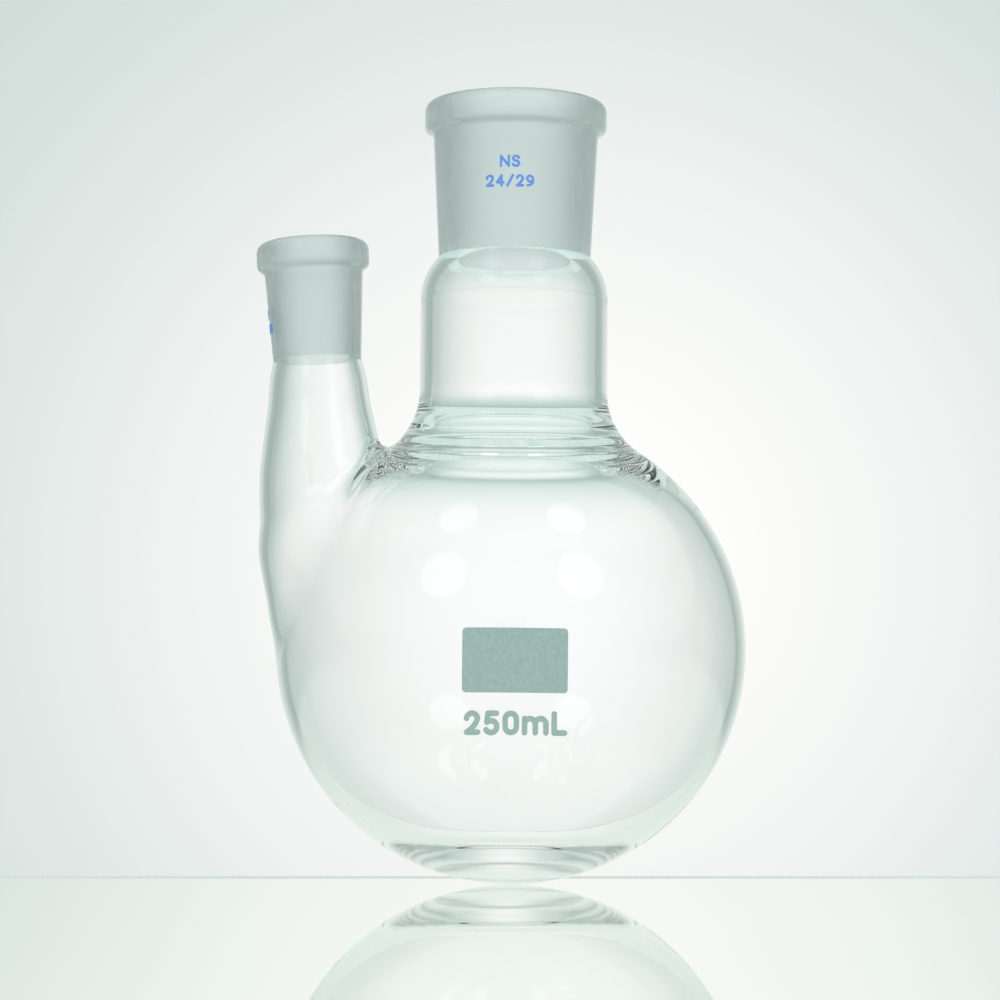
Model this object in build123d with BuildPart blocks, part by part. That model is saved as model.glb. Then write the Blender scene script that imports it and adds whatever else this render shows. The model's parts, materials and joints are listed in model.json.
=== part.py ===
"""Two-neck round-bottom flask, 250 ml, borosilicate glass.

Units are mm and +Z is up. The origin is the lowest point of the bulb, on the axis of the
centre neck. The side neck stands toward -X and the enamel marks on the bulb face -Y.

Pieces: flask_body, centre_socket, side_neck, side_socket and four thin enamel marks.
"""

import os
from math import cos, radians, sin, sqrt

from build123d import *

# ---- bulb ------------------------------------------------------------------------------
bulb_r = 42.5
bulb_wall = 1.8
floor_z = 6.0
floor_flat_r = 13.6
crown_from = 35.0
crown_r = 30.0

# ---- centre neck -----------------------------------------------------------------------
neck_r = 17.06
neck_bore_r = 15.0
shoulder_r = 14.0
shoulder_inner_r = 3.0
dome_z = 106.3
dome_r = 10.85
dome_wall = 2.1
centre_weld_z = 114.0

# ---- centre ground socket, 24/29 -------------------------------------------------------
mouth_z = 142.8
joint_r = 12.0
joint_length = 29.0
taper = 0.05
socket_low_r = 13.9
socket_top_r = 15.08
rim_r = 16.67
rim_height = 5.4
rim_top_round = 1.9
rim_low_round = 1.4
rim_root_round = 0.9
mouth_round = 0.5

# ---- side ground socket, 14/23 ---------------------------------------------------------
side_lean = 3.2
side_mouth_x = -37.06
side_mouth_z = 116.65
side_joint_r = 7.25
side_joint_length = 23.0
side_socket_low_r = 8.04
side_socket_top_r = 8.98
side_rim_r = 10.3
side_rim_height = 4.9
side_weld = 21.8

# ---- side neck: radius of the blown tube at distances below the side mouth ---------------
side_line = [(8.8, 25.1), (9.05, 29.5), (9.8, 36.2), (10.95, 43.5), (11.7, 50.0)]
side_line += [(11.8, 57.0), (11.17, 65.4), (9.5, 72.8), (6.0, 81.0)]
side_bottom = 86.3
side_wall = 1.85
side_fillet = 4.0
weld_rise = 0.6

# ---- enamel marks ----------------------------------------------------------------------
enamel = 0.08
field_width = 18.0
field_height = 11.0
field_x = 0.6
field_z = 38.4
capacity_x = 0.8
capacity_z = 27.8
capacity_height = 4.15
capacity_stroke = 0.95
size_stroke = 0.46
size_x = -1.0
size_height = 2.24
size_upper_z = 129.4
size_lower_z = 125.9
side_size_height = 1.8
side_size_upper = 13.2
side_size_lower = 15.9

# The centre lines of the letters, on a height of 1. Three points are an arc and two a line.
letters = {
    "0": [
        [(0, 0.7), (0.3, 1), (0.6, 0.7)],
        [(0.6, 0.7), (0.6, 0.3)],
        [(0.6, 0.3), (0.3, 0), (0, 0.3)],
        [(0, 0.3), (0, 0.7)],
    ],
    "1": [[(0, 0.76), (0.27, 1)], [(0.27, 1), (0.27, 0)]],
    "2": [
        [(0, 0.73), (0.3, 1), (0.58, 0.7)],
        [(0.58, 0.7), (0.43, 0.4), (0, 0)],
        [(0, 0), (0.6, 0)],
    ],
    "3": [
        [(0.03, 0.82), (0.3, 1), (0.54, 0.76)],
        [(0.54, 0.76), (0.45, 0.58), (0.24, 0.54)],
        [(0.24, 0.54), (0.5, 0.46), (0.58, 0.27)],
        [(0.58, 0.27), (0.28, 0), (0, 0.2)],
    ],
    "4": [[(0.46, 0), (0.46, 1)], [(0.46, 1), (0, 0.3)], [(0, 0.3), (0.64, 0.3)]],
    "5": [
        [(0.55, 1), (0.1, 1)],
        [(0.1, 1), (0.05, 0.53)],
        [(0.05, 0.53), (0.58, 0.31), (0, 0.13)],
    ],
    "9": [
        [(0.01, 0.7), (0.3, 0.99), (0.59, 0.7)],
        [(0.59, 0.7), (0.3, 0.41), (0.01, 0.7)],
        [(0.59, 0.7), (0.46, 0.16), (0.06, 0.03)],
    ],
    "N": [[(0, 0), (0, 1)], [(0, 1), (0.78, 0)], [(0.78, 0), (0.78, 1)]],
    "S": [
        [(0.6, 0.81), (0.32, 1), (0.03, 0.76)],
        [(0.03, 0.76), (0.11, 0.59), (0.33, 0.52)],
        [(0.33, 0.52), (0.56, 0.42), (0.64, 0.25)],
        [(0.64, 0.25), (0.32, 0), (0, 0.19)],
    ],
    "m": [
        [(0, 0), (0, 0.74)],
        [(0, 0.5), (0.28, 0.74), (0.57, 0.5)],
        [(0.57, 0.5), (0.57, 0)],
        [(0.57, 0.5), (0.85, 0.74), (1.14, 0.5)],
        [(1.14, 0.5), (1.14, 0)],
    ],
    "L": [[(0, 1), (0, 0)], [(0, 0), (0.56, 0)]],
    "/": [[(0, -0.02), (0.56, 1.02)]],
}
letter_widths = {
    "0": 0.6,
    "1": 0.27,
    "2": 0.6,
    "3": 0.58,
    "4": 0.64,
    "5": 0.58,
    "9": 0.59,
    "N": 0.78,
    "S": 0.64,
    "m": 1.14,
    "L": 0.56,
    "/": 0.56,
}

# ---- derived ---------------------------------------------------------------------------
inner_r = bulb_r - bulb_wall
lean = radians(side_lean)
side_up = Vector(-sin(lean), 0, cos(lean))
side_mouth = Vector(side_mouth_x, 0, side_mouth_z)
side_axis = Axis(side_mouth, side_up)
side_plane = Plane(origin=side_mouth, x_dir=(cos(lean), 0, sin(lean)), z_dir=(0, -1, 0))
dome_centre_r = neck_r - dome_r


def dome_point(radius, height):
    """The point of a dome arc of this radius at a height above the dome's centre."""
    return dome_centre_r + sqrt(radius**2 - height**2), dome_z + height


def tangent_points(ball, centre, neck, blend):
    """Where a blend arc leaves a round wall and where it meets the upright wall above it."""
    across = neck + blend - centre[0]
    rise = sqrt((ball + blend) ** 2 - across**2)
    share = ball / (ball + blend)
    return (centre[0] + across * share, centre[1] + rise * share), (neck, centre[1] + rise)


def ball_and_neck(grow, top_z):
    """Half the outline of the bulb, shoulder and neck, grown by this much, up to top_z."""
    ball = bulb_r + grow
    blend = shoulder_r - grow
    low, high = tangent_points(ball, (0, bulb_r), neck_r + grow, blend)
    with BuildSketch(Plane.XZ) as outline:
        with BuildLine():
            ThreePointArc((0, bulb_r - ball), (ball, bulb_r), low)
            RadiusArc(low, high, blend)
            if grow:
                Polyline(high, (neck_r + grow, top_z), (0, top_z), (0, bulb_r - ball))
            else:
                end = dome_point(dome_r, top_z - dome_z)
                Line(high, (neck_r, dome_z))
                ThreePointArc((neck_r, dome_z), dome_point(dome_r, 4.2), end)
                Polyline(end, (0, top_z), (0, 0))
        make_face()
    return outline.sketch


def side_outline(points, bottom, top_r):
    """Half the outline of a blown tube on the side axis, through radius and drop pairs."""
    with BuildSketch(side_plane) as outline:
        with BuildLine():
            path = [(top_r, -side_weld)] + [(r, -drop) for r, drop in points] + [(0, -bottom)]
            Spline(*path, tangents=[(0.3, -1), (-1, 0)])
            Polyline((0, -bottom), (0, -side_weld), (top_r, -side_weld))
        make_face()
    return outline.sketch


def hollow_outline():
    """Half the outline of the space inside the bulb, neck, dome and centre socket."""
    gap = bulb_r - floor_z
    corner = (inner_r**2 - gap**2 - floor_flat_r**2) / (2 * (inner_r - gap))
    reach = inner_r / (inner_r - corner)
    low = (floor_flat_r * reach, bulb_r - (gap - corner) * reach)
    start = radians(crown_from)
    offset = inner_r - crown_r
    crown = (offset * cos(start), bulb_r + offset * sin(start))
    crown_start = (inner_r * cos(start), bulb_r + inner_r * sin(start))
    crown_end, neck_start = tangent_points(crown_r, crown, neck_bore_r, shoulder_inner_r)
    end_r = joint_r - taper * (mouth_z - centre_weld_z)
    small = dome_r - dome_wall
    end_z = dome_z + sqrt(small**2 - (end_r - dome_centre_r) ** 2)
    with BuildSketch(Plane.XZ) as outline:
        with BuildLine():
            Line((0, floor_z), (floor_flat_r, floor_z))
            RadiusArc((floor_flat_r, floor_z), low, -corner)
            ThreePointArc(low, (inner_r, bulb_r), crown_start)
            RadiusArc(crown_start, crown_end, -crown_r)
            RadiusArc(crown_end, neck_start, shoulder_inner_r)
            Line(neck_start, (neck_bore_r, dome_z))
            ThreePointArc((neck_bore_r, dome_z), dome_point(small, 4), (end_r, end_z))
            Polyline((end_r, end_z), (end_r, mouth_z), (0, mouth_z), (0, floor_z))
        make_face()
    return outline.sketch


def socket_outline(plane, bore, low, low_r, top_r, lip_r, lip_height):
    """Half the section of a ground socket, with its mouth at the plane's origin."""
    with BuildSketch(plane) as outline:
        with BuildLine():
            low_bore = bore - taper * low
            Polyline((bore, 0), (lip_r, 0), (lip_r, -lip_height), (top_r, -lip_height - 0.7))
            Polyline((top_r, -lip_height - 0.7), (low_r, -low), (low_bore, -low), (bore, 0))
        make_face()
        rounds = {(lip_r, 0): rim_top_round, (lip_r, -lip_height): rim_low_round}
        rounds |= {(top_r, -lip_height - 0.7): rim_root_round, (bore, 0): mouth_round}
        for spot, radius in rounds.items():
            ends = outline.vertices()
            fillet(ends.sort_by_distance(spot)[0], radius)
    return outline.sketch


# ---- glass before it is parted: outer shape and hollow -----------------------------------
with BuildPart() as outer_shape:
    revolve(ball_and_neck(0, centre_weld_z), axis=Axis.Z)
    revolve(side_outline(side_line, side_bottom, side_socket_low_r), axis=side_axis)
    curved = outer_shape.edges().filter_by(GeomType.BSPLINE)
    seam = [edge for edge in curved if edge.bounding_box().size.Y > 20]
    fillet(seam, side_fillet)

with BuildPart() as hollow:
    revolve(hollow_outline(), axis=Axis.Z)
    inner_line = [(r - side_wall, drop) for r, drop in side_line]
    side_end_r = side_joint_r - taper * side_weld
    revolve(side_outline(inner_line, side_bottom - 2.5, side_end_r), axis=side_axis)

with BuildPart() as weld_body:
    revolve(ball_and_neck(weld_rise, mouth_z), axis=Axis.Z)

# ---- flask_body: bulb and centre neck, blown in one piece --------------------------------
with BuildPart() as flask_body:
    add(outer_shape.part)
    add(hollow.part, mode=Mode.SUBTRACT)
    add(weld_body.part, mode=Mode.INTERSECT)

# ---- side_neck: the blown tube fused to the bulb ------------------------------------------
with BuildPart() as side_neck:
    add(outer_shape.part)
    add(hollow.part, mode=Mode.SUBTRACT)
    add(weld_body.part, mode=Mode.SUBTRACT)

# ---- centre_socket and side_socket: ground joints fused to the necks ----------------------
centre_plane = Plane(origin=(0, 0, mouth_z), x_dir=(1, 0, 0), z_dir=(0, -1, 0))
centre_low = mouth_z - centre_weld_z

with BuildPart() as centre_socket:
    centre_shape = (joint_r, centre_low, socket_low_r, socket_top_r, rim_r, rim_height)
    revolve(socket_outline(centre_plane, *centre_shape), axis=Axis.Z)

with BuildPart() as side_socket:
    side_shape = (side_joint_r, side_weld, side_socket_low_r, side_socket_top_r)
    side_shape += (side_rim_r, side_rim_height)
    revolve(socket_outline(side_plane, *side_shape), axis=side_axis)


# ---- enamel marks: thin skins fired on the glass -------------------------------------------
def lettering(text, height, stroke, gap):
    """Round-ended letters of this height, centred on the origin."""
    scale = height - stroke
    widths = [letter_widths[letter] * scale + stroke for letter in text]
    start = -(sum(widths) + gap * (len(text) - 1)) / 2
    with BuildSketch() as marks:
        for letter, width in zip(text, widths):
            for path in letters[letter]:
                left = start + stroke / 2
                spots = [(left + u * scale, (v - 0.5) * scale) for u, v in path]
                with BuildLine():
                    if len(spots) == 3:
                        ThreePointArc(*spots)
                    else:
                        Line(*spots)
                trace(line_width=stroke)
                with Locations(spots[0], spots[-1]):
                    Circle(stroke / 2)
            start += width + gap
    return marks.sketch


def socket_skin(plane, low, low_r, top_r, lip_height):
    """Half the section of a thin skin on the outside of a ground socket."""
    top = lip_height + 0.7
    with BuildSketch(plane) as outline:
        with BuildLine():
            Polyline((low_r, -low), (low_r + enamel, -low), (top_r + enamel, -top))
            Polyline((top_r + enamel, -top), (top_r, -top), (low_r, -low))
        make_face()
    return outline.sketch


with BuildPart() as ball_skin:
    with Locations((0, 0, bulb_r)):
        Sphere(bulb_r + enamel)
        Sphere(bulb_r, mode=Mode.SUBTRACT)

with BuildPart() as marking_field:
    front = Plane((field_x, -bulb_r - 1, field_z), x_dir=(1, 0, 0), z_dir=(0, -1, 0))
    with BuildSketch(front):
        RectangleRounded(field_width, field_height, 0.6)
    extrude(amount=-12)
    add(ball_skin.part, mode=Mode.INTERSECT)

with BuildPart() as capacity_print:
    front = Plane((capacity_x, -bulb_r - 1, capacity_z), x_dir=(1, 0, 0), z_dir=(0, -1, 0))
    with BuildSketch(front):
        add(lettering("250mL", capacity_height, capacity_stroke, 0.45))
    extrude(amount=-12)
    add(ball_skin.part, mode=Mode.INTERSECT)

with BuildPart() as centre_skin:
    centre_band = (centre_low, socket_low_r, socket_top_r, rim_height)
    revolve(socket_skin(centre_plane, *centre_band), axis=Axis.Z)

with BuildPart() as centre_size_print:
    for text, height in {"NS": size_upper_z, "24/29": size_lower_z}.items():
        with BuildSketch(Plane((size_x, -rim_r, height), x_dir=(1, 0, 0), z_dir=(0, -1, 0))):
            add(lettering(text, size_height, size_stroke, 0.27))
        extrude(amount=-6)
    add(centre_skin.part, mode=Mode.INTERSECT)

with BuildPart() as side_skin:
    side_band = (side_weld, side_socket_low_r, side_socket_top_r, side_rim_height)
    revolve(socket_skin(side_plane, *side_band), axis=side_axis)

side_out = Vector(-cos(lean), 0, -sin(lean))

with BuildPart() as side_size_print:
    for text, drop in {"NS": side_size_upper, "14/23": side_size_lower}.items():
        spot = side_mouth - side_up * drop + side_out * side_rim_r
        with BuildSketch(Plane(spot, x_dir=(0, -1, 0), z_dir=side_out)):
            add(lettering(text, side_size_height, size_stroke, 0.22))
        extrude(amount=-5)
    add(side_skin.part, mode=Mode.INTERSECT)

# ---- one file for each piece ---------------------------------------------------------------
os.makedirs("parts", exist_ok=True)
pieces = {
    "flask_body": flask_body,
    "side_neck": side_neck,
    "centre_socket": centre_socket,
    "side_socket": side_socket,
    "marking_field": marking_field,
    "capacity_print": capacity_print,
    "centre_size_print": centre_size_print,
    "side_size_print": side_size_print,
}
for name, piece in pieces.items():
    piece.part.label = name
    export_step(piece.part, f"parts/{name}.step")
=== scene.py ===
"""Looks of a two-neck round-bottom flask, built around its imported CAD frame.

Shapes are worked out in millimetres in the part's own frame: Z up, the bulb's lowest point at
the origin, the side neck towards -X and the enamel marks facing -Y. make_piece turns them into
metres. The glass pieces are closed shells with a true outer and inner wall, so that they
refract as glassware does.
"""

import json
from math import atan2, cos, hypot, pi, radians, sin, sqrt

import bmesh
import bpy
import numpy as np
from mathutils import Matrix, Vector


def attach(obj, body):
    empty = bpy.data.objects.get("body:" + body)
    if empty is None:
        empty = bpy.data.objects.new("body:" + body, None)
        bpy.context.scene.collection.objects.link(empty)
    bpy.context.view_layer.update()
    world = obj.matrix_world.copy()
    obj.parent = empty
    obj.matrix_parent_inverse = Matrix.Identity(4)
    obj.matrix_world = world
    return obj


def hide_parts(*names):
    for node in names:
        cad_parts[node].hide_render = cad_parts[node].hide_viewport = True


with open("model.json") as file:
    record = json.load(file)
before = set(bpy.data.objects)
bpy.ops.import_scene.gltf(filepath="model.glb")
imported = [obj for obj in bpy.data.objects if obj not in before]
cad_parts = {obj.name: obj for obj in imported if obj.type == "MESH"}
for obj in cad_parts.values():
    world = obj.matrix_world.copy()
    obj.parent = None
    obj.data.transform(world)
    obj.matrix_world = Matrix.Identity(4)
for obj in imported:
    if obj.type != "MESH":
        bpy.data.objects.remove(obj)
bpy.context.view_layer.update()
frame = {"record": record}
mounts = {mount["name"]: mount for mount in frame["record"]["mounts"]}

# ---- dimensions in mm --------------------------------------------------------------------
BULB_R = 42.5
BULB_WALL = 1.8
FLOOR_Z = 6.0
FLOOR_FLAT_R = 13.6
CROWN_FROM = radians(35)
CROWN_R = 30.0
NECK_R = mounts["neck_clamp"]["dims"]["r_mm"]
NECK_BORE_R = 15.0
SHOULDER_R = 14.0
SHOULDER_INNER_R = 3.0
DOME_Z = 106.3
DOME_R = 10.85
DOME_WALL = 2.1
CENTRE_WELD_Z = 114.0
TAPER = 0.05

JOINT_R = mounts["centre_joint"]["dims"]["r_mm"]
JOINT_LENGTH = mounts["centre_joint"]["dims"]["length_mm"]
MOUTH_Z = mounts["centre_joint"]["pos_m"][2] * 1000
CENTRE_SOCKET = {
    "bore": JOINT_R,
    "ground": JOINT_LENGTH,
    "length": MOUTH_Z - CENTRE_WELD_Z,
    "low_r": 13.9,
    "top_r": 15.08,
    "rim_r": 16.67,
    "rim_height": 5.4,
}
SOCKET_ROUNDS = [0.9, 1.4, 1.9, 0.5]
RIM_SLOPE = 0.7

SIDE_JOINT_R = mounts["side_joint"]["dims"]["r_mm"]
SIDE_JOINT_LENGTH = mounts["side_joint"]["dims"]["length_mm"]
SIDE_WELD = 21.8
SIDE_SOCKET = {
    "bore": SIDE_JOINT_R,
    "ground": SIDE_JOINT_LENGTH,
    "length": SIDE_WELD,
    "low_r": 8.04,
    "top_r": 8.98,
    "rim_r": 10.3,
    "rim_height": 4.9,
}
# The side tube's outer wall: pairs of a radius and a drop below the mouth.
SIDE_LINE = [(8.04, 21.8), (8.79, 25.1), (9.27, 29.5), (10.42, 36.2), (11.43, 43.5), (11.57, 50.0)]
SIDE_LINE += [(11.19, 57.0), (6.8, 65.4), (0.36, 72.8), (-4.05, 79.0), (-9.2, 86.0), (-13.75, 92.0)]
SIDE_WALL = 1.85
# The blend of bulb and side tube is wide below BLEND_SPAN and tight above it.
WIDE_BLEND = 12.0
OUTER_BLEND = 3.6
INNER_BLEND = 6.0
BLEND_SPAN = (58.0, 77.0)
BLEND_TOP = 100.0

SIDE_MOUTH = np.array(mounts["side_joint"]["pos_m"]) * 1000
SIDE_UP = np.array(mounts["side_joint"]["axis"])
SIDE_RIGHT = np.array([SIDE_UP[2], 0.0, -SIDE_UP[0]])
DEPTH = np.array([0.0, 1.0, 0.0])

# Places in a glass piece's list of materials.
CLEAR, WELD, GROUND, SEAM = 0, 1, 2, 3

# How finely the meshes are cut.
BODY_STEP, BODY_COLUMNS = 0.9, 288
SIDE_ROWS, SIDE_COLUMNS = 84, 144
SOCKET_STEP, SOCKET_COLUMNS = 0.3, 192

# The rays that trace the side neck start FAN_DROP below its mouth, on its axis.
FAN_DROP = 62.0
FAN_REACH = 60.0
FAN_WIDEST = 2.6

# Enamel marks.
ENAMEL_FRONT, ENAMEL_BACK = 0.07, 0.006
FIELD_SIZE, FIELD_CORNER = (18.0, 11.0), 0.6
FIELD_X, FIELD_Z = 0.6, 38.4
CAPACITY_X, CAPACITY_Z = 0.8, 27.8
CAPACITY_STROKE = 0.95
SIZE_STROKE = 0.46
CENTRE_SIZE_X, CENTRE_SIZE_Z = -1.0, 127.65
SIDE_SIZE_DROP = 14.55

GLASS_IOR = 1.474


# ---- distances to the blown shapes ---------------------------------------------------------
def smooth_table(points):
    """A finely sampled, softened curve of radius against drop below the side mouth."""
    radii, drops = np.array(points).T
    slopes = np.gradient(radii, drops)
    fine = np.arange(drops[0], drops[-1], 0.1)
    k = np.clip(np.searchsorted(drops, fine, side="right") - 1, 0, len(drops) - 2)
    width = drops[k + 1] - drops[k]
    t = (fine - drops[k]) / width
    curve = (2 * t**3 - 3 * t**2 + 1) * radii[k] + (t**3 - 2 * t**2 + t) * width * slopes[k]
    curve += (3 * t**2 - 2 * t**3) * radii[k + 1] + (t**3 - t**2) * width * slopes[k + 1]
    kernel = np.exp(-0.5 * (np.arange(-20, 21) / 9.0) ** 2)
    ends = 2 * curve[0] - curve[20:0:-1], 2 * curve[-1] - curve[-2:-22:-1]
    padded = np.concatenate([ends[0], curve, ends[1]])
    return fine, np.convolve(padded, kernel / kernel.sum(), mode="valid")


SIDE_DROPS, SIDE_RADII = smooth_table(SIDE_LINE)
SIDE_SLOPES = np.gradient(SIDE_RADII, SIDE_DROPS)


def side_distance(points, wall):
    """Signed distance to the blown side tube, shrunk by the wall."""
    away = points - SIDE_MOUTH
    drop = -away @ SIDE_UP
    radius = np.linalg.norm(away + drop[..., None] * SIDE_UP, axis=-1)
    outline = np.interp(drop, SIDE_DROPS, SIDE_RADII) - wall
    slope = np.interp(drop, SIDE_DROPS, SIDE_SLOPES)
    return (radius - outline) / np.sqrt(1 + slope**2)


def soft_union(a, b, width):
    """The union of two distances, rounded where they meet."""
    share = np.clip(0.5 + 0.5 * (b - a) / width, 0, 1)
    return b + (a - b) * share - width * share * (1 - share)


def bisect(low, high, stays_low, halvings):
    """The values between low and high where stays_low stops being true."""
    for _ in range(halvings):
        middle = (low + high) / 2
        under = stays_low(middle)
        low, high = np.where(under, middle, low), np.where(under, high, middle)
    return (low + high) / 2


class Wall:
    """One wall of the fused bulb and side neck, outer or inner.

    The bulb turns into a crown of smaller radius above CROWN_FROM, and the crown is blended
    into the neck. Below the side neck the two shapes melt together over a wide blend, and in
    the crotch above it over a tight one.
    """

    def __init__(self, ball, crown, neck, shoulder, shrink, blend):
        self.ball, self.crown, self.neck, self.shoulder = ball, crown, neck, shoulder
        self.shrink, self.blend = shrink, blend
        self.turn = (ball - crown) * cos(CROWN_FROM), (ball - crown) * sin(CROWN_FROM)
        across = neck + shoulder - self.turn[0]
        climb = sqrt((crown + shoulder) ** 2 - across**2)
        self.rise = self.turn[1] + climb
        self.angle = atan2(climb, across)

    def body(self, points):
        r = np.hypot(points[..., 0], points[..., 1])
        z = points[..., 2] - BULB_R
        to_r, to_z = r - self.turn[0], z - self.turn[1]
        on_crown = z * cos(CROWN_FROM) > r * sin(CROWN_FROM)
        crown_wall, ball_wall = np.hypot(to_r, to_z) - self.crown, np.hypot(r, z) - self.ball
        round_wall = np.where(on_crown, crown_wall, ball_wall)
        blended = self.shoulder - np.hypot(r - self.neck - self.shoulder, z - self.rise)
        beside = to_r * sin(self.angle) > to_z * cos(self.angle)
        return np.where(z > self.rise, r - self.neck, np.where(beside, round_wall, blended))

    def side(self, points):
        return side_distance(points, self.shrink)

    def fused(self, points):
        t = np.clip((points[..., 2] - BLEND_SPAN[0]) / (BLEND_SPAN[1] - BLEND_SPAN[0]), 0, 1)
        width = WIDE_BLEND + (self.blend - WIDE_BLEND) * t * t * (3 - 2 * t)
        return soft_union(self.body(points), self.side(points), width)


OUTER = Wall(BULB_R, BULB_R, NECK_R, SHOULDER_R, 0.0, OUTER_BLEND)
INNER = Wall(
    BULB_R - BULB_WALL, CROWN_R, NECK_BORE_R, SHOULDER_INNER_R, SIDE_WALL, INNER_BLEND
)


# ---- mesh tools ------------------------------------------------------------------------------
def arc(centre, radius, start, end, step):
    """Points of an arc in a profile, both ends included, angles in radians."""
    count = max(2, int(abs(end - start) * radius / step) + 1)
    angles = np.linspace(start, end, count)
    return [(centre[0] + radius * cos(a), centre[1] + radius * sin(a)) for a in angles]


def line(start, end, step):
    """Points of a straight run in a profile, both ends included."""
    count = max(2, int(hypot(end[0] - start[0], end[1] - start[1]) / step) + 1)
    return [tuple(p) for p in np.linspace(start, end, count)]


def chain(*runs):
    """Joins runs of profile points, dropping the repeated point at each join."""
    points = []
    for run in runs:
        for point in run:
            if not points or hypot(point[0] - points[-1][0], point[1] - points[-1][1]) > 1e-4:
                points.append(point)
    return points


def grid_normals(grid):
    """Normals of a grid of points whose columns close on themselves."""
    along = np.gradient(grid, axis=0)
    around = np.roll(grid, -1, axis=1) - np.roll(grid, 1, axis=1)
    normals = np.cross(along, around)
    return normals / np.maximum(np.linalg.norm(normals, axis=-1, keepdims=True), 1e-12)


def grid_faces(rows, columns, offset=0, closed=False):
    """Quads of a grid whose columns close on themselves, and whose rows may."""
    faces = []
    for i in range(rows if closed else rows - 1):
        for j in range(columns):
            k, n = (i + 1) % rows, (j + 1) % columns
            corners = (i, j), (i, n), (k, n), (k, j)
            faces.append([offset + a * columns + b for a, b in corners])
    return faces


def clip(points, normals, faces, values):
    """Keeps the part of a mesh where values are below zero. Also returns the cut's points."""
    points, normals = list(points), list(normals)
    kept, made = [], {}
    inside = values < 0
    for face in faces:
        flags = inside[face]
        if flags.all():
            kept.append(list(face))
            continue
        if not flags.any():
            continue
        corners = []
        for a, b in zip(face, face[1:] + face[:1]):
            if inside[a]:
                corners.append(a)
            if inside[a] != inside[b]:
                edge = (min(a, b), max(a, b))
                if edge not in made:
                    low, high = edge
                    t = values[low] / (values[low] - values[high])
                    made[edge] = len(points)
                    points.append(points[low] + t * (points[high] - points[low]))
                    normals.append(normals[low] + t * (normals[high] - normals[low]))
                corners.append(made[edge])
        if len(corners) > 2:
            kept.append(corners)
    used = sorted({corner for face in kept for corner in face})
    renamed = {old: new for new, old in enumerate(used)}
    kept = [[renamed[corner] for corner in face] for face in kept]
    cut = [renamed[index] for index in made.values() if index in renamed]
    return np.array(points)[used], np.array(normals)[used], kept, cut


def zip_loops(first, second, points, angle):
    """Faces between two rings of points, each put in order of its angle."""
    rings = []
    for ring in (first, second):
        rings.append(sorted((angle(points[i]), i) for i in ring))
    a, b = rings
    faces, i, j = [], 0, 0
    while i < len(a) or j < len(b):
        next_a = a[(i + 1) % len(a)][0] + 2 * pi * ((i + 1) // len(a))
        next_b = b[(j + 1) % len(b)][0] + 2 * pi * ((j + 1) // len(b))
        corner_a, corner_b = a[i % len(a)][1], b[j % len(b)][1]
        if j >= len(b) or (i < len(a) and next_a <= next_b):
            faces.append([corner_a, corner_b, a[(i + 1) % len(a)][1]])
            i += 1
        else:
            faces.append([corner_a, corner_b, b[(j + 1) % len(b)][1]])
            j += 1
    return faces


def make_piece(name, points, normals, faces, kinds, materials, slot, *nodes):
    """A closed shell from points in mm, riding on the flask in place of its CAD nodes."""
    mesh = bpy.data.meshes.new(name)
    mesh.from_pydata((np.array(points) / 1000).tolist(), [], faces)
    mesh.polygons.foreach_set("material_index", np.array(kinds, dtype=np.int32))
    shell = bmesh.new()
    shell.from_mesh(mesh)
    bmesh.ops.recalc_face_normals(shell, faces=shell.faces)
    shell.to_mesh(mesh)
    shell.free()
    mesh.polygons.foreach_set("use_smooth", np.ones(len(mesh.polygons), dtype=bool))
    for material in materials:
        mesh.materials.append(material)
    mesh.update()
    if normals is not None:
        set_normals(mesh, np.array(normals))
    piece = bpy.data.objects.new(name, mesh)
    bpy.context.scene.collection.objects.link(piece)
    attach(piece, "root")
    if nodes:
        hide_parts(*nodes)
    return piece


def set_normals(mesh, normals):
    """Gives each corner its surface's true normal, and each weld face its own flat one."""
    auto = np.zeros(len(mesh.vertices) * 3)
    mesh.vertex_normals.foreach_get("vector", auto)
    facing = np.sign((auto.reshape(-1, 3) * normals).sum(1))
    normals = normals * np.where(facing == 0, 1, facing)[:, None]
    flat = np.zeros(len(mesh.polygons) * 3)
    mesh.polygons.foreach_get("normal", flat)
    kinds = np.zeros(len(mesh.polygons), dtype=np.int32)
    mesh.polygons.foreach_get("material_index", kinds)
    sizes = np.zeros(len(mesh.polygons), dtype=np.int32)
    mesh.polygons.foreach_get("loop_total", sizes)
    corners = np.zeros(len(mesh.loops), dtype=np.int32)
    mesh.loops.foreach_get("vertex_index", corners)
    owner = np.repeat(np.arange(len(mesh.polygons)), sizes)
    corner_normals = np.where(
        np.isin(kinds[owner], (WELD, SEAM))[:, None], flat.reshape(-1, 3)[owner], normals[corners]
    )
    mesh.normals_split_custom_set(corner_normals.tolist())


# ---- profiles ----------------------------------------------------------------------------------
def outer_profile(step):
    """The bulb's and centre neck's outer wall, from the lowest point to the weld."""
    blend_centre = (NECK_R + SHOULDER_R, BULB_R + OUTER.rise)
    dome_centre = (NECK_R - DOME_R, DOME_Z)
    top = atan2(CENTRE_WELD_Z - DOME_Z, sqrt(DOME_R**2 - (CENTRE_WELD_Z - DOME_Z) ** 2))
    return chain(
        arc((0, BULB_R), BULB_R, -pi / 2, OUTER.angle, step),
        arc(blend_centre, SHOULDER_R, pi + OUTER.angle, pi, step * 0.7),
        line((NECK_R, BULB_R + OUTER.rise), (NECK_R, DOME_Z), step),
        arc(dome_centre, DOME_R, 0, top, step * 0.5),
    )


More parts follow.
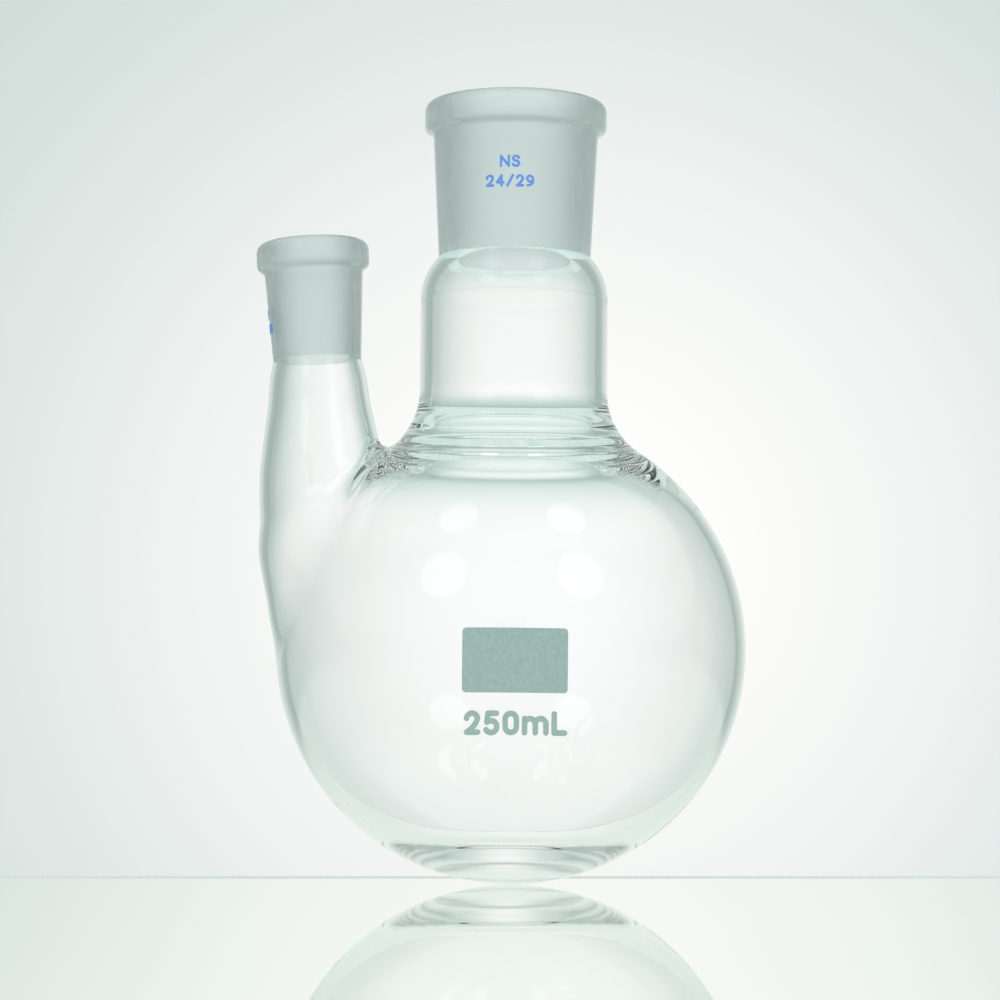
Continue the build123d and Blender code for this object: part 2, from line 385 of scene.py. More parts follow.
def inner_profile(step):
    """The inner wall of the bulb and centre neck, from its flat floor to the weld."""
    gap = BULB_R - FLOOR_Z
    corner = (INNER.ball**2 - gap**2 - FLOOR_FLAT_R**2) / (2 * (INNER.ball - gap))
    low = atan2(gap - corner, FLOOR_FLAT_R)
    crown_centre = (INNER.turn[0], BULB_R + INNER.turn[1])
    blend_centre = (NECK_BORE_R + SHOULDER_INNER_R, BULB_R + INNER.rise)
    small = DOME_R - DOME_WALL
    end_r = JOINT_R - TAPER * (MOUTH_Z - CENTRE_WELD_Z)
    top = atan2(sqrt(small**2 - (end_r - NECK_R + DOME_R) ** 2), end_r - NECK_R + DOME_R)
    return chain(
        line((0, FLOOR_Z), (FLOOR_FLAT_R, FLOOR_Z), step),
        arc((FLOOR_FLAT_R, FLOOR_Z + corner), corner, -pi / 2, -low, step),
        arc((0, BULB_R), INNER.ball, -low, CROWN_FROM, step),
        arc(crown_centre, CROWN_R, CROWN_FROM, INNER.angle, step),
        arc(blend_centre, SHOULDER_INNER_R, pi + INNER.angle, pi, step * 0.3),
        line((NECK_BORE_R, BULB_R + INNER.rise), (NECK_BORE_R, DOME_Z), step),
        arc((NECK_R - DOME_R, DOME_Z), small, 0, top, step * 0.5),
        [(end_r, CENTRE_WELD_Z)],
    )


# ---- flask_body and side_neck ----------------------------------------------------------------
def side_angle(point):
    """Angle of a point around the side axis."""
    away = np.asarray(point) - SIDE_MOUTH
    return atan2(away[1], away @ SIDE_RIGHT)


def body_patch(profile, wall):
    """A wall of the bulb and neck, drawn up to the side neck and cut open there."""
    profile = np.array(profile)
    slope = np.gradient(profile, axis=0)
    slope /= np.linalg.norm(slope, axis=1, keepdims=True)
    turn = np.arange(BODY_COLUMNS) * 2 * pi / BODY_COLUMNS
    around = np.stack([np.cos(turn), np.sin(turn), 0 * turn], axis=-1)
    grid = profile[1:, None, :1] * around + profile[1:, None, 1:] * np.array([0, 0, 1])
    out = slope[1:, None, 1:] * around - slope[1:, None, :1] * np.array([0, 0, 1])
    # A soft union stands at most a quarter of its width proud of the two shapes.
    start, limit = np.zeros(grid.shape[:2]), np.full(grid.shape[:2], WIDE_BLEND / 4 + 1)
    height = bisect(start, limit, lambda lift: wall.fused(grid + lift[..., None] * out) < 0, 24)
    near = (wall.side(grid) < WIDE_BLEND) & (grid[..., 2] < BLEND_TOP)
    height = np.where(near, height, 0)
    grid = grid + height[..., None] * out
    values = np.where(near, height - wall.side(grid), -1.0)
    normals = np.where(near[..., None], grid_normals(grid), out)
    rows = len(profile) - 1
    pole = rows * BODY_COLUMNS
    points = np.concatenate([grid.reshape(-1, 3), [[0, 0, profile[0, 1]]]])
    normals = np.concatenate([normals.reshape(-1, 3), [[0, 0, -1.0]]])
    values = np.concatenate([values.reshape(-1), [-1.0]])
    faces = grid_faces(rows, BODY_COLUMNS)
    faces += [[pole, (j + 1) % BODY_COLUMNS, j] for j in range(BODY_COLUMNS)]
    rim = points[(rows - 1) * BODY_COLUMNS : rows * BODY_COLUMNS]
    return clip(points, normals, faces, values), rim


def make_flask_body(materials):
    """The bulb and centre neck, with the opening that the side neck is fused to."""
    outer, outer_rim = body_patch(outer_profile(BODY_STEP), OUTER)
    inner, inner_rim = body_patch(inner_profile(BODY_STEP), INNER)
    count = len(outer[0])
    points = np.concatenate([outer[0], inner[0]])
    normals = np.concatenate([outer[1], inner[1]])
    faces = outer[2] + [[corner + count for corner in face] for face in inner[2]]
    kinds = [CLEAR] * len(faces)
    cut = [corner + count for corner in inner[3]]
    seam = zip_loops(outer[3], cut, points, side_angle)
    top = find_rims(points, (outer_rim, inner_rim))
    collar = zip_loops(*top, points, lambda point: atan2(point[1], point[0]))
    faces += seam + collar
    kinds += [WELD] * len(seam) + [SEAM] * len(collar)
    return make_piece(
        "flask_body_glass", points, normals, faces, kinds, materials, "clear_glass", "flask_body"
    )


def find_rims(points, rims):
    """The numbers of the points that make up each rim."""
    found = []
    for rim in rims:
        height, radius = rim[0][2], hypot(rim[0][0], rim[0][1])
        level = np.abs(points[:, 2] - height) < 1e-6
        level &= np.abs(np.hypot(points[:, 0], points[:, 1]) - radius) < 1e-4
        found.append(np.nonzero(level)[0].tolist())
    return found


def fan_points(turn, lean, reach):
    """Points at a reach from the fan's centre, at an angle from the side axis."""
    across = np.cos(turn)[..., None] * SIDE_RIGHT + np.sin(turn)[..., None] * DEPTH
    way = np.cos(lean)[..., None] * SIDE_UP + np.sin(lean)[..., None] * across
    return SIDE_MOUTH - FAN_DROP * SIDE_UP + reach[..., None] * way


def fan_reach(wall, turn, lean):
    """How far from the fan's centre each ray meets the wall."""
    start, limit = np.zeros(lean.shape), np.full(lean.shape, FAN_REACH)
    return bisect(start, limit, lambda reach: wall.fused(fan_points(turn, lean, reach)) < 0, 36)


def side_patch(wall):
    """A wall of the side neck, from its weld with the socket to its seam with the bulb."""
    turn = np.arange(SIDE_COLUMNS) * 2 * pi / SIDE_COLUMNS
    top_r = np.interp(SIDE_WELD, SIDE_DROPS, SIDE_RADII) - wall.shrink
    start = np.full(SIDE_COLUMNS, atan2(top_r, FAN_DROP - SIDE_WELD))

    def above_seam(lean):
        spots = fan_points(turn, lean, fan_reach(wall, turn, lean))
        return wall.body(spots) > wall.side(spots)

    end = bisect(start + 0.02, np.full(SIDE_COLUMNS, FAN_WIDEST), above_seam, 36)
    share = np.linspace(0, 1, SIDE_ROWS)[:, None] ** 1.35
    lean = start + share * (end - start)
    turns = np.broadcast_to(turn, lean.shape)
    grid = fan_points(turns, lean, fan_reach(wall, turns, lean))
    return grid.reshape(-1, 3), grid_normals(grid).reshape(-1, 3)


def make_side_neck(materials):
    """The blown side tube between the bulb and the side socket."""
    outer, inner = side_patch(OUTER), side_patch(INNER)
    size = SIDE_ROWS * SIDE_COLUMNS
    points = np.concatenate([outer[0], inner[0]])
    normals = np.concatenate([outer[1], inner[1]])
    faces = grid_faces(SIDE_ROWS, SIDE_COLUMNS) + grid_faces(SIDE_ROWS, SIDE_COLUMNS, size)
    kinds = [CLEAR] * len(faces)
    for row in (0, size - SIDE_COLUMNS):
        for j in range(SIDE_COLUMNS):
            n = (j + 1) % SIDE_COLUMNS
            faces.append([row + j, row + n, size + row + n, size + row + j])
    kinds += [WELD] * (2 * SIDE_COLUMNS)
    return make_piece(
        "side_neck_glass", points, normals, faces, kinds, materials, "clear_glass", "side_neck"
    )


# ---- sockets ---------------------------------------------------------------------------------
def rounded(points, radii, step):
    """A run of profile points through corners, each rounded to its radius."""
    runs = [[tuple(points[0])]]
    for before, corner, after, radius in zip(points, points[1:], points[2:], radii):
        to_before = Vector(before) - Vector(corner)
        to_after = Vector(after) - Vector(corner)
        half = to_before.angle(to_after) / 2
        middle = (to_before.normalized() + to_after.normalized()).normalized()
        centre = Vector(corner) + middle * (radius / sin(half))
        start = Vector(corner) + to_before.normalized() * (radius / np.tan(half)) - centre
        end = Vector(corner) + to_after.normalized() * (radius / np.tan(half)) - centre
        first, last = atan2(start.y, start.x), atan2(end.y, end.x)
        turn = (last - first + pi) % (2 * pi) - pi
        runs.append(line(runs[-1][-1], tuple(start + centre), step * 3))
        runs.append(arc(centre, radius, first, first + turn, step))
    runs.append(line(runs[-1][-1], tuple(points[-1]), step * 3))
    return chain(*runs)


def make_socket(name, node, place, socket, joined, materials):
    """A ground socket: a tapered tube with a rolled rim, its inner cone ground.

    place holds the socket's three axes and the middle of its mouth, and joined is the kind of
    the face at its foot.
    """
    bore, low, rim = socket["bore"], socket["length"], socket["rim_height"]
    corners = [
        (socket["low_r"], -low),
        (socket["top_r"], -rim - RIM_SLOPE),
        (socket["rim_r"], -rim),
        (socket["rim_r"], 0),
        (bore, 0),
        (bore - TAPER * low, -low),
    ]
    profile = np.array(rounded(corners, SOCKET_ROUNDS, SOCKET_STEP))
    rows = len(profile)
    turn = np.arange(SOCKET_COLUMNS) * 2 * pi / SOCKET_COLUMNS
    across, depth = profile[:, :1] * np.cos(turn), profile[:, :1] * np.sin(turn)
    grid = np.stack([across, depth, np.repeat(profile[:, 1:], SOCKET_COLUMNS, axis=1)], axis=-1)
    normals = grid_normals(grid)
    faces = grid_faces(rows, SOCKET_COLUMNS, closed=True)
    inside = profile[:, 0] < bore - 0.02
    kinds = []
    for i in range(rows - 1):
        ground = inside[i] and inside[i + 1] and -profile[i + 1, 1] <= socket["ground"]
        kinds += [GROUND if ground else CLEAR] * SOCKET_COLUMNS
    kinds += [joined] * SOCKET_COLUMNS
    turned = np.stack(place[:3])
    points = grid.reshape(-1, 3) @ turned + place[3]
    normals = normals.reshape(-1, 3) @ turned
    return make_piece(name, points, normals, faces, kinds, materials, "socket_glass", node)


# ---- enamel marks ----------------------------------------------------------------------------
# The centre lines of the letters, on a height of 1. Three points are an arc and two a line.
LETTERS = {
    "0": [
        [(0, 0.7), (0.3, 1), (0.6, 0.7)],
        [(0.6, 0.7), (0.6, 0.3)],
        [(0.6, 0.3), (0.3, 0), (0, 0.3)],
        [(0, 0.3), (0, 0.7)],
    ],
    "1": [[(0, 0.76), (0.27, 1)], [(0.27, 1), (0.27, 0)]],
    "2": [
        [(0, 0.73), (0.3, 1), (0.58, 0.7)],
        [(0.58, 0.7), (0.43, 0.4), (0, 0)],
        [(0, 0), (0.6, 0)],
    ],
    "3": [
        [(0.03, 0.82), (0.3, 1), (0.54, 0.76)],
        [(0.54, 0.76), (0.45, 0.58), (0.24, 0.54)],
        [(0.24, 0.54), (0.5, 0.46), (0.58, 0.27)],
        [(0.58, 0.27), (0.28, 0), (0, 0.2)],
    ],
    "4": [[(0.46, 0), (0.46, 1)], [(0.46, 1), (0, 0.3)], [(0, 0.3), (0.64, 0.3)]],
    "5": [
        [(0.55, 1), (0.1, 1)],
        [(0.1, 1), (0.05, 0.53)],
        [(0.05, 0.53), (0.58, 0.31), (0, 0.13)],
    ],
    "9": [
        [(0.01, 0.7), (0.3, 0.99), (0.59, 0.7)],
        [(0.59, 0.7), (0.3, 0.41), (0.01, 0.7)],
        [(0.59, 0.7), (0.46, 0.16), (0.06, 0.03)],
    ],
    "N": [[(0, 0), (0, 1)], [(0, 1), (0.78, 0)], [(0.78, 0), (0.78, 1)]],
    "S": [
        [(0.6, 0.81), (0.32, 1), (0.03, 0.76)],
        [(0.03, 0.76), (0.11, 0.59), (0.33, 0.52)],
        [(0.33, 0.52), (0.56, 0.42), (0.64, 0.25)],
        [(0.64, 0.25), (0.32, 0), (0, 0.19)],
    ],
    "m": [
        [(0, 0), (0, 0.74)],
        [(0, 0.5), (0.28, 0.74), (0.57, 0.5)],
        [(0.57, 0.5), (0.57, 0)],
        [(0.57, 0.5), (0.85, 0.74), (1.14, 0.5)],
        [(1.14, 0.5), (1.14, 0)],
    ],
    "L": [[(0, 1), (0, 0)], [(0, 0), (0.56, 0)]],
    "/": [[(0, -0.02), (0.56, 1.02)]],
}


def arc_through(first, middle, last, count=14):
    """Points along the arc through three points."""
    ax, ay, bx, by = *(np.array(first) - middle), *(np.array(last) - middle)
    double = 2 * (ax * by - ay * bx)
    a2, b2 = ax * ax + ay * ay, bx * bx + by * by
    centre = np.array(middle) + np.array([by * a2 - ay * b2, ax * b2 - bx * a2]) / double
    angles = [atan2(*(np.array(p) - centre)[::-1]) for p in (first, middle, last)]
    turn = (angles[2] - angles[0]) % (2 * pi)
    if (angles[1] - angles[0]) % (2 * pi) > turn:
        turn -= 2 * pi
    radius = np.linalg.norm(np.array(first) - centre)
    steps = angles[0] + np.linspace(0, 1, count) * turn
    return centre + radius * np.stack([np.cos(steps), np.sin(steps)], axis=-1)


def letter_strokes(text, height, stroke, gap, level):
    """The strokes of a centred line of letters, each a start and an end point."""
    scale = height - stroke
    widths = [max(spot[0] for path in LETTERS[c] for spot in path) * scale + stroke for c in text]
    left = -(sum(widths) + gap * (len(text) - 1)) / 2 + stroke / 2
    strokes = []
    for letter, width in zip(text, widths):
        for path in LETTERS[letter]:
            spots = np.array(path) if len(path) == 2 else arc_through(*path)
            spots = spots * scale + [left, level - scale / 2]
            strokes += list(zip(spots[:-1], spots[1:]))
        left += width + gap
    return strokes


def stroke_distance(spots, strokes, stroke):
    """Distance of flat points outside the nearest stroke."""
    nearest = np.full(len(spots), 1e9)
    for start, end in strokes:
        run = end - start
        t = np.clip((spots - start) @ run / max(run @ run, 1e-9), 0, 1)
        nearest = np.minimum(nearest, np.linalg.norm(spots - start - t[:, None] * run, axis=1))
    return nearest - stroke / 2


def size_strokes(joint, height, gap, line_z):
    """The strokes of a joint's size: NS, and under it the bore and length."""
    upper = letter_strokes("NS", height, SIZE_STROKE, gap, line_z)
    return upper + letter_strokes(joint, height, SIZE_STROKE, gap, -line_z)


def patch_distance(spots, width, height, corner):
    """Distance of flat points outside a rectangle with small round corners."""
    past = np.abs(spots) - [width / 2 - corner, height / 2 - corner]
    return np.linalg.norm(np.maximum(past, 0), axis=1) + np.minimum(past.max(1), 0) - corner


def make_mark(name, node, slot, material, half, cell, distance, onto):
    """A thin enamel skin: flat shape below zero distance, laid on the glass by onto."""
    across = np.arange(-half[0], half[0] + cell, cell)
    up = np.arange(-half[1], half[1] + cell, cell)
    spots = np.stack(np.meshgrid(across, up), axis=-1).reshape(-1, 2)
    n = len(across)
    corners = [i * n + j for i in range(len(up) - 1) for j in range(n - 1)]
    quads = [[c, c + 1, c + n + 1, c + n] for c in corners]
    spots, _, faces, _ = clip(spots, spots, quads, distance(spots))
    count = len(spots)
    points = np.concatenate([onto(spots, ENAMEL_FRONT), onto(spots, ENAMEL_BACK)])
    edges = {}
    for face in faces:
        for a, b in zip(face, face[1:] + face[:1]):
            if edges.pop((b, a), None) is None:
                edges[a, b] = True
    sides = [[b, a, a + count, b + count] for a, b in edges]
    back = [[corner + count for corner in reversed(face)] for face in faces]
    faces = faces + back + sides
    piece = make_piece(name, points, None, faces, [0] * len(faces), [material], slot, node)
    piece.data.set_sharp_from_angle(angle=radians(40))
    return piece


def onto_ball(shift, level):
    """Lays flat points on the front of the bulb, around a spot."""

    def place(spots, lift):
        x, z = spots[:, 0] + shift, spots[:, 1] + level - BULB_R
        front = np.stack([x, -np.sqrt(BULB_R**2 - x**2 - z**2), z], axis=-1)
        return front * (1 + lift / BULB_R) + [0, 0, BULB_R]

    return place


def onto_socket(mouth, up, right, socket, shift, drop):
    """Lays flat points on the outside of a socket, facing along right x up."""
    low, shoulder = socket["length"], socket["rim_height"] + RIM_SLOPE
    slope = (socket["top_r"] - socket["low_r"]) / (low - shoulder)

    def place(spots, lift):
        level = drop - spots[:, 1]
        radius = socket["low_r"] + slope * (low - level) + lift
        turn = np.arcsin((spots[:, 0] + shift) / radius)
        out = np.cross(right, up)
        side = np.sin(turn)[:, None] * right + np.cos(turn)[:, None] * out
        return mouth - level[:, None] * up + radius[:, None] * side

    return place


# ---- materials -------------------------------------------------------------------------------
def new_material(name):
    """A node material and its Principled shader."""
    material = bpy.data.materials.new(name)
    material.use_nodes = True
    return material, material.node_tree, material.node_tree.nodes["Principled BSDF"]


def new_glass(name, ior=GLASS_IOR):
    """A node material that lets light through, and its Principled shader."""
    material, tree, shader = new_material(name)
    shader.inputs["Transmission Weight"].default_value = 1.0
    shader.inputs["IOR"].default_value = ior
    return material, tree, shader


def noise(tree, scale, detail, stretch=(1, 1, 1)):
    """A noise texture in the object's own coordinates."""
    place = tree.nodes.new("ShaderNodeTexCoord")
    mapping = tree.nodes.new("ShaderNodeMapping")
    mapping.inputs["Scale"].default_value = stretch
    texture = tree.nodes.new("ShaderNodeTexNoise")
    texture.inputs["Scale"].default_value = scale
    texture.inputs["Detail"].default_value = detail
    tree.links.new(place.outputs["Object"], mapping.inputs["Vector"])
    tree.links.new(mapping.outputs["Vector"], texture.inputs["Vector"])
    return texture.outputs["Fac"]


def srgb(*levels):
    """A linear colour from screen levels of 0 to 255."""
    return tuple(((level / 255 + 0.055) / 1.055) ** 2.4 for level in levels)


def ramp(tree, value, *stops):
    """Colours spread over a value, from pairs of a position and a colour."""
    node = tree.nodes.new("ShaderNodeValToRGB")
    elements = node.color_ramp.elements
    while len(elements) < len(stops):
        elements.new(0.5)
    for element, (position, colour) in zip(elements, stops):
        element.position, element.color = position, (*colour, 1)
    tree.links.new(value, node.inputs["Fac"])
    return node.outputs["Color"]


def spread(tree, value, low, high):
    """A value from 0 to 1 brought into a range."""
    node = tree.nodes.new("ShaderNodeMapRange")
    node.inputs["To Min"].default_value = low
    node.inputs["To Max"].default_value = high
    tree.links.new(value, node.inputs["Value"])
    return node.outputs["Result"]


def bump(tree, shader, value, strength, distance):
    """Surface relief from a value, its distance in metres."""
    node = tree.nodes.new("ShaderNodeBump")
    node.inputs["Strength"].default_value = strength
    node.inputs["Distance"].default_value = distance
    tree.links.new(value, node.inputs["Height"])
    tree.links.new(node.outputs["Normal"], shader.inputs["Normal"])


def shoulder_band(tree):
    """A factor that is 1 where the glass is thick, between the bulb and the centre neck."""
    place = tree.nodes.new("ShaderNodeTexCoord")
    parts = tree.nodes.new("ShaderNodeSeparateXYZ")
    tree.links.new(place.outputs["Object"], parts.inputs["Vector"])
    factors = []
    for axis, edges in (("Z", (0.068, 0.075)), ("Z", (0.088, 0.082)), ("X", (-0.030, -0.024))):
        node = tree.nodes.new("ShaderNodeMapRange")
        node.interpolation_type = "SMOOTHSTEP"
        node.inputs["From Min"].default_value, node.inputs["From Max"].default_value = edges
        tree.links.new(parts.outputs[axis], node.inputs["Value"])
        factors.append(node.outputs["Result"])
    product = factors[0]
    for factor in factors[1:]:
        node = tree.nodes.new("ShaderNodeMath")
        node.operation = "MULTIPLY"
        tree.links.new(product, node.inputs[0])
        tree.links.new(factor, node.inputs[1])
        product = node.outputs["Value"]
    return product


def clear_glass():
    """Fire-polished borosilicate glass with the faint waves of blown ware."""
    material, tree, shader = new_glass("clear_borosilicate")
    shader.inputs["Roughness"].default_value = 0.0
    tint = ramp(tree, shoulder_band(tree), (0, (0.988, 0.996, 0.993)), (1, (0.93, 0.98, 0.968)))
    tree.links.new(tint, shader.inputs["Base Color"])
    bump(tree, shader, noise(tree, 55, 1, (1, 1, 0.35)), 0.07, 0.0003)
    return material


def socket_glass():
    """The outside and rim of a socket, a little hazy from the flame and the grinding."""
    material, tree, shader = new_glass("socket_outside")
    shader.inputs["Coat Weight"].default_value = 0.7
    shader.inputs["Coat Roughness"].default_value = 0.03
    haze = noise(tree, 160, 3)
    tree.links.new(spread(tree, haze, 0.16, 0.3), shader.inputs["Roughness"])
    tint = ramp(tree, haze, (0.3, (0.955, 0.99, 0.99)), (0.7, (0.975, 1, 1)))
    tree.links.new(tint, shader.inputs["Base Color"])
    bump(tree, shader, noise(tree, 90, 2), 0.2, 0.0003)
    return material


def weld_glass():
    """The inside of a weld, where glass meets glass and light passes straight on."""
    material, tree, shader = new_glass("weld_inside", 1.0)
    shader.inputs["Roughness"].default_value = 0.0
    tint = ramp(tree, noise(tree, 40, 1), (0.3, (0.995, 1, 0.998)), (0.7, (1, 1, 1)))
    tree.links.new(tint, shader.inputs["Base Color"])
    return material


def seam_glass():
    """The pale ring where the centre socket's ground cone ends in its weld.

    Its weak glow is painted light: it stands in for what the ground cone scatters down into the
    neck's wall.
    """
    material, tree, shader = new_material("seam_painted_glow")
    shader.inputs["Roughness"].default_value = 0.5
    tint = ramp(tree, noise(tree, 220, 2), (0.3, (0.9, 0.95, 0.935)), (0.7, (0.95, 0.98, 0.97)))
    tree.links.new(tint, shader.inputs["Base Color"])
    # Painted light: the ring glows weakly in its own colour, in place of light scattered down from
    # the ground cone.
    tree.links.new(tint, shader.inputs["Emission Color"])
    shader.inputs["Emission Strength"].default_value = 0.08
    return material


def ground_glass():
    """The ground inner cone of a socket: finely roughened glass."""
    material, tree, shader = new_glass("ground_cone")
    grain = noise(tree, 2600, 3)
    tree.links.new(spread(tree, grain, 0.5, 0.66), shader.inputs["Roughness"])
    tint = ramp(tree, noise(tree, 900, 3), (0.35, (0.92, 0.98, 0.985)), (0.65, (0.96, 1.0, 1.0)))
    tree.links.new(tint, shader.inputs["Base Color"])
    bump(tree, shader, grain, 0.12, 0.00002)
    return material


def enamel(name, dark, light):
    """Fired screen-printed enamel, slightly uneven in colour and gloss."""
    material, tree, shader = new_material(name)
    grain = noise(tree, 1500, 4)
    tree.links.new(ramp(tree, grain, (0.35, dark), (0.65, light)), shader.inputs["Base Color"])
    tree.links.new(spread(tree, noise(tree, 700, 2), 0.42, 0.6), shader.inputs["Roughness"])
    shader.inputs["Specular IOR Level"].default_value = 0.4
    bump(tree, shader, grain, 0.2, 0.00001)
    return material


glass = clear_glass()
weld = weld_glass()
ground = ground_glass()
hazy = socket_glass()
seam_glow = seam_glass()
grey_enamel = enamel("grey_green_enamel", (0.37, 0.51, 0.475), (0.43, 0.575, 0.54))
blue_enamel = enamel("light_blue_enamel", (0.13, 0.32, 0.85), (0.19, 0.41, 0.95))

# ---- the flask -------------------------------------------------------------------------------
make_flask_body([glass, weld, ground, seam_glow])
make_side_neck([glass, weld])
X, Y, Z = np.eye(3)
CENTRE_MOUTH = np.array([0, 0, MOUTH_Z])
make_socket(
    "centre_socket_glass",
    "centre_socket",
    (X, Y, Z, CENTRE_MOUTH),
    CENTRE_SOCKET,
    SEAM,
    [hazy, weld, ground, seam_glow],
)
make_socket(
    "side_socket_glass",
    "side_socket",
    (SIDE_RIGHT, DEPTH, SIDE_UP, SIDE_MOUTH),
    SIDE_SOCKET,
    WELD,
    [hazy, weld, ground],
)

make_mark(
    "marking_field_enamel",
    "marking_field",
    "grey_enamel",
    grey_enamel,
    (9.4, 5.9),
    0.4,
    lambda spots: patch_distance(spots, *FIELD_SIZE, FIELD_CORNER),
    onto_ball(FIELD_X, FIELD_Z),
)
capacity = letter_strokes("250mL", 4.15, CAPACITY_STROKE, 0.45, 0)
make_mark(
    "capacity_enamel",
    "capacity_print",
    "grey_enamel",
    grey_enamel,
    (9.2, 2.4),
    0.13,
    lambda spots: stroke_distance(spots, capacity, CAPACITY_STROKE),
    onto_ball(CAPACITY_X, CAPACITY_Z),
)
centre_size = size_strokes("24/29", 2.24, 0.27, 1.75)
make_mark(
    "centre_size_enamel",
    "centre_size_print",
    "blue_enamel",
    blue_enamel,
    (4.9, 3.1),
    0.07,
    lambda spots: stroke_distance(spots, centre_size, SIZE_STROKE),
    onto_socket(CENTRE_MOUTH, Z, X, CENTRE_SOCKET, CENTRE_SIZE_X, MOUTH_Z - CENTRE_SIZE_Z),
)
side_size = size_strokes("14/23", 1.8, 0.22, 1.35)
make_mark(
    "side_size_enamel",
    "side_size_print",
    "blue_enamel",
    blue_enamel,
    (4.0, 2.5),
    0.07,
    lambda spots: stroke_distance(spots, side_size, SIZE_STROKE),
    onto_socket(SIDE_MOUTH, SIDE_UP, -DEPTH, SIDE_SOCKET, 0, SIDE_SIZE_DROP),
)

# ---- table, backdrop and light ---------------------------------------------------------------
# From here on, lengths are in metres. The camera and the table lean by the same small angle.
LEAN = radians(0.54)
TABLE_HALF, TABLE_BACK, EDGE_HEIGHT = 2.5, 0.151, 0.0003
BACKDROP_HALF, BACKDROP_Y, BACKDROP_LOW, BACKDROP_HIGH = 2.2, 1.3, -1.2, 2.4
FLASK_MIDDLE = Vector((0, 0, 0.08))
CAMERA_PLACE, CAMERA_PITCH, CAMERA_LENS = (-0.0016, -0.68, 0.007), radians(5.26), 135.1
GLASS_BOUNCES = 48
levelled = Matrix.Rotation(-LEAN, 4, "Y")


def stage_plane(name, corners, material):
    """A flat piece of the surroundings, levelled with the camera."""
    mesh = bpy.data.meshes.new(name)
    mesh.from_pydata([levelled @ Vector(corner) for corner in corners], [], [(0, 1, 2, 3)])
    mesh.materials.append(material)
    plane = bpy.data.objects.new(name, mesh)
    bpy.context.scene.collection.objects.link(plane)
    return plane


def table_material():
    """A pale lit table top under a clear gloss."""
    material, tree, _ = new_material("pale_table")
    tree.nodes.remove(tree.nodes["Principled BSDF"])
    fresnel = tree.nodes.new("ShaderNodeFresnel")
    fresnel.inputs["IOR"].default_value = 1.45
    tint = ramp(tree, noise(tree, 6, 2), (0.3, (0.78, 0.87, 0.82)), (0.7, (0.82, 0.9, 0.85)))
    glow = tree.nodes.new("ShaderNodeEmission")
    tree.links.new(tint, glow.inputs["Color"])
    gloss = tree.nodes.new("ShaderNodeBsdfGlossy")
    gloss.inputs["Color"].default_value = (0.99, 1, 0.985, 1)
    tree.links.new(spread(tree, noise(tree, 400, 2), 0.003, 0.012), gloss.inputs["Roughness"])
    mix = tree.nodes.new("ShaderNodeMixShader")
    tree.links.new(fresnel.outputs["Fac"], mix.inputs["Fac"])
    tree.links.new(glow.outputs["Emission"], mix.inputs[1])
    tree.links.new(gloss.outputs["BSDF"], mix.inputs[2])
    tree.links.new(mix.outputs["Shader"], tree.nodes["Material Output"].inputs["Surface"])
    return material


def edge_material():
    """The dull far edge of the table."""
    material, tree, shader = new_material("table_edge")
    tint = ramp(tree, noise(tree, 30, 1), (0.3, (0.92, 0.96, 0.94)), (0.7, (0.94, 0.97, 0.95)))
    tree.links.new(tint, shader.inputs["Base Color"])
    return material


def backdrop_material():
    """A lit backdrop, brightest behind the flask."""
    material, tree, _ = new_material("lit_backdrop")
    tree.nodes.remove(tree.nodes["Principled BSDF"])
    place = tree.nodes.new("ShaderNodeTexCoord")
    mapping = tree.nodes.new("ShaderNodeMapping")
    mapping.inputs["Location"].default_value = (-0.04, 0, -0.2)
    mapping.inputs["Scale"].default_value = (1.26, 0.0, 1.26)
    length = tree.nodes.new("ShaderNodeVectorMath")
    length.operation = "LENGTH"
    tree.links.new(place.outputs["Object"], mapping.inputs["Vector"])
    tree.links.new(mapping.outputs["Vector"], length.inputs[0])
    colour = ramp(
        tree,
        length.outputs["Value"],
        (0.06, (1.0, 1.0, 1.0)),
        (0.13, srgb(251, 251, 250)),
        (0.23, srgb(242, 245, 243)),
        (0.31, srgb(233, 238, 236)),
        (0.37, srgb(225, 233, 230)),
        (0.47, srgb(214, 225, 221)),
        (0.7, srgb(196, 210, 205)),
        (1.0, srgb(166, 182, 177)),
    )
    glow = tree.nodes.new("ShaderNodeEmission")
    tree.links.new(colour, glow.inputs["Color"])
    tree.links.new(glow.outputs["Emission"], tree.nodes["Material Output"].inputs["Surface"])
    return material


stage_plane(
    "table",
    [
        (-TABLE_HALF, -TABLE_HALF, 0),
        (TABLE_HALF, -TABLE_HALF, 0),
        (TABLE_HALF, TABLE_BACK, 0),
        (-TABLE_HALF, TABLE_BACK, 0),
    ],
    table_material(),
)
stage_plane(
    "table_edge",
    [
        (-TABLE_HALF, TABLE_BACK, 0),
        (TABLE_HALF, TABLE_BACK, 0),
        (TABLE_HALF, TABLE_BACK, EDGE_HEIGHT),
        (-TABLE_HALF, TABLE_BACK, EDGE_HEIGHT),
    ],
    edge_material(),
)
stage_plane(
    "backdrop",
    [
        (-BACKDROP_HALF, BACKDROP_Y, BACKDROP_LOW),
        (BACKDROP_HALF, BACKDROP_Y, BACKDROP_LOW),
        (BACKDROP_HALF, BACKDROP_Y, BACKDROP_HIGH),
        (-BACKDROP_HALF, BACKDROP_Y, BACKDROP_HIGH),
    ],
    backdrop_material(),
)

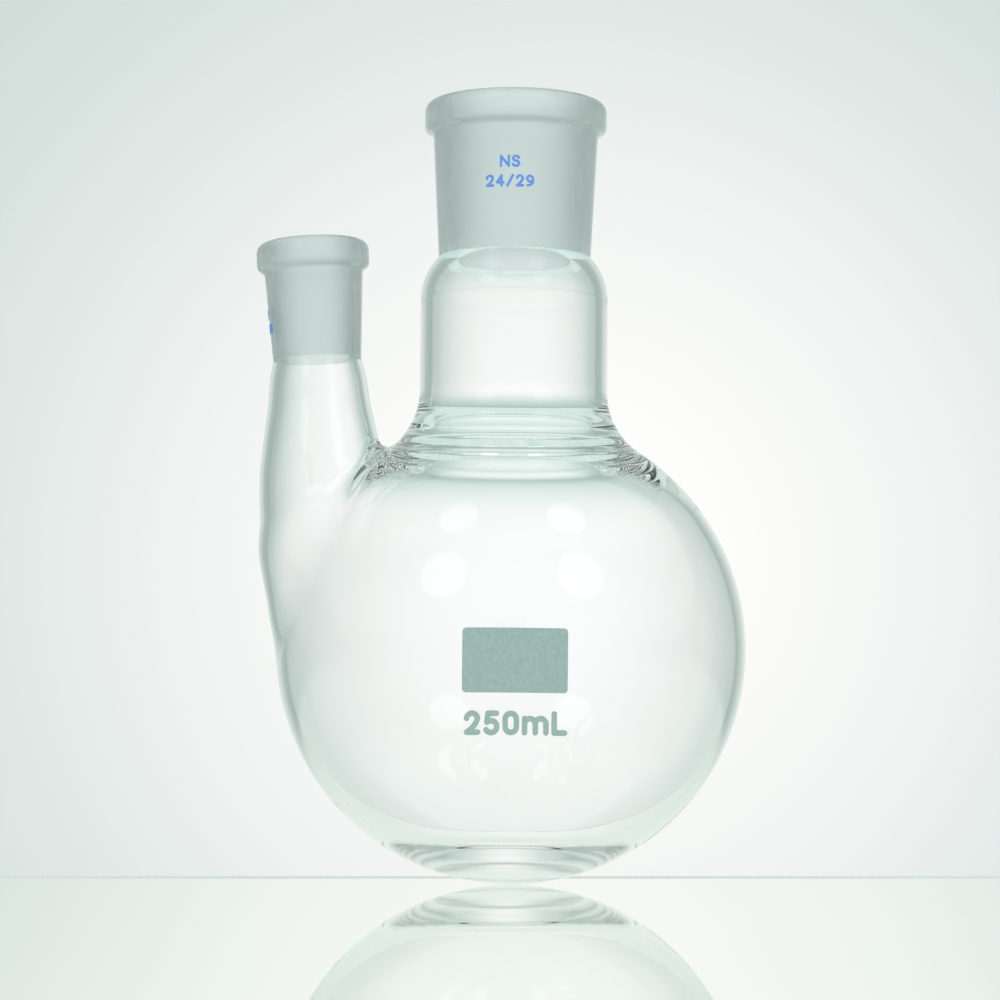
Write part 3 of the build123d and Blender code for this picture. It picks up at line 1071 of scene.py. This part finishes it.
world = bpy.data.worlds.new("studio")
bpy.context.scene.world = world
world.use_nodes = True
sky = world.node_tree
way = sky.nodes.new("ShaderNodeTexCoord")
split = sky.nodes.new("ShaderNodeSeparateXYZ")
sky.links.new(way.outputs["Generated"], split.inputs["Vector"])
turned = sky.nodes.new("ShaderNodeMapRange")
turned.inputs["From Min"].default_value = -1.0
sky.links.new(split.outputs["Y"], turned.inputs["Value"])
room = ramp(
    sky,
    turned.outputs["Result"],
    (0.1, (0.82, 0.86, 0.85)),
    (0.33, (0.5, 0.55, 0.53)),
    (0.5, (0.28, 0.33, 0.315)),
    (0.8, (0.3, 0.35, 0.335)),
)
ceiling = ramp(sky, split.outputs["Z"], (0.3, (0, 0, 0)), (0.75, (0.84, 0.88, 0.87)))
brighter = sky.nodes.new("ShaderNodeVectorMath")
brighter.operation = "MAXIMUM"
sky.links.new(room, brighter.inputs[0])
sky.links.new(ceiling, brighter.inputs[1])
sky.links.new(brighter.outputs["Vector"], sky.nodes["Background"].inputs["Color"])


def soft_lamp(name, place, size, power):
    """A soft round lamp that faces the flask."""
    data = bpy.data.lights.new(name, "AREA")
    data.shape = "DISK"
    data.size = size
    data.energy = power
    data.use_shadow = False
    lamp = bpy.data.objects.new(name, data)
    lamp.location = place
    lamp.rotation_euler = (FLASK_MIDDLE - Vector(place)).to_track_quat("-Z", "Y").to_euler()
    bpy.context.scene.collection.objects.link(lamp)


for hand, way in (("left", -1), ("right", 1)):
    soft_lamp("lamp_" + hand, (0.42 * way, -0.41, 1.05), 0.32, 0.2)
for hand, way in (("left", -1), ("right", 1)):
    soft_lamp("lamp_front_" + hand, (0.57 * way, -0.75, 0.62), 0.42, 0.3)

# ---- camera ----------------------------------------------------------------------------------
camera_data = bpy.data.cameras.new("camera")
camera_data.sensor_width = 36
camera_data.lens = CAMERA_LENS
camera_data.clip_start = 0.01
camera = bpy.data.objects.new("camera", camera_data)
camera.matrix_world = (
    levelled
    @ Matrix.Translation(CAMERA_PLACE)
    @ Matrix.Rotation(radians(90) + CAMERA_PITCH, 4, "X")
)
bpy.context.scene.collection.objects.link(camera)
bpy.context.scene.camera = camera
bpy.context.scene.view_settings.view_transform = "Standard"
# A path through the flask crosses and reflects off many walls before it leaves.
bpy.context.scene.cycles.diffuse_bounces = 8
bpy.context.scene.cycles.max_bounces = 64
bpy.context.scene.cycles.glossy_bounces = GLASS_BOUNCES
bpy.context.scene.cycles.transmission_bounces = GLASS_BOUNCES

bpy.context.view_layer.update()
